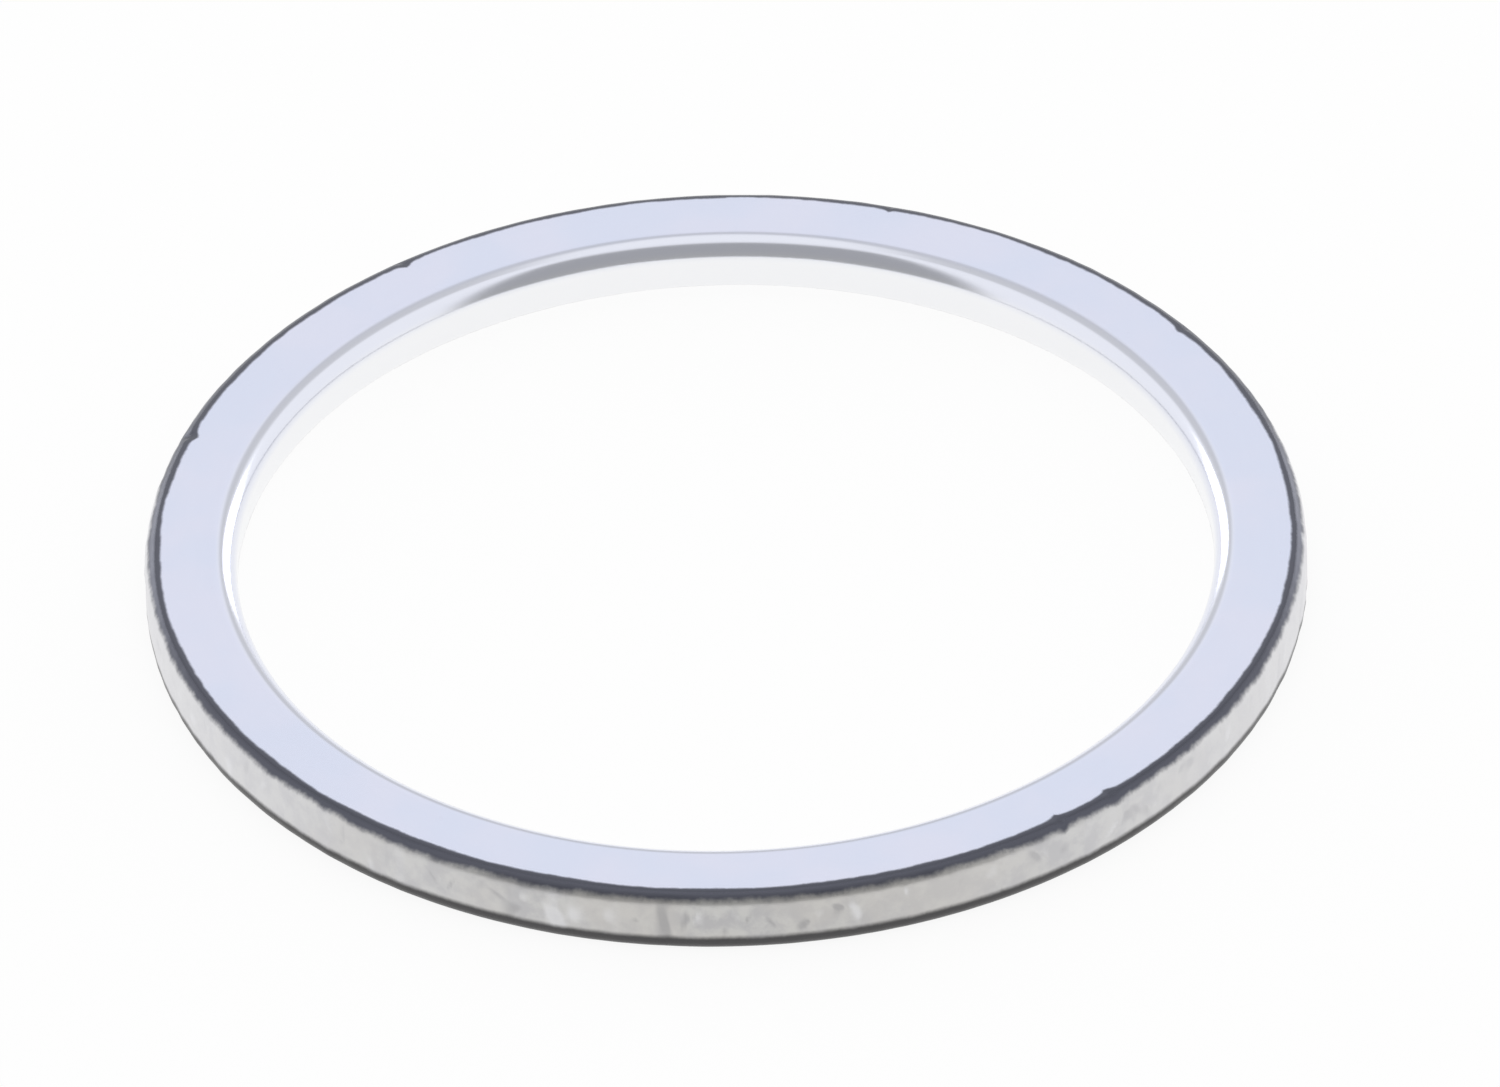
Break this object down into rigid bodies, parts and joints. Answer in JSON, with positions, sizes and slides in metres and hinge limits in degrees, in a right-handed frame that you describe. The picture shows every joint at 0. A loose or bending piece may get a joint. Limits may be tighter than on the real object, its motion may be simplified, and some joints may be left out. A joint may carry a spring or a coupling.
{
  "type": "spiral wound gasket",
  "caption": "Flat ring gasket for a pipe flange joint: a thin metal jacket folded and lapped round a core wound from chevron steel strip and soft filler.",
  "frame": {"origin": "centre of the ring, on the plane of the face that it lies on", "axes": "+Z along the ring's axis, up from the lapped face to the plain face; the winding crosses X where its half turns meet"},
  "size_m": [0.087, 0.087, 0.0052],
  "materials": {
    "jacket_sheet": "bright annealed sheet, satin faces, crumpled outer wall",
    "winding_strip": "cold rolled strip",
    "filler": "soft graphite tape, dull"
  },
  "bodies": {
    "root": {"jacket": "jacket_sheet", "winding_strip": "winding_strip", "filler_strip": "filler"}
  },
  "joints": []
}
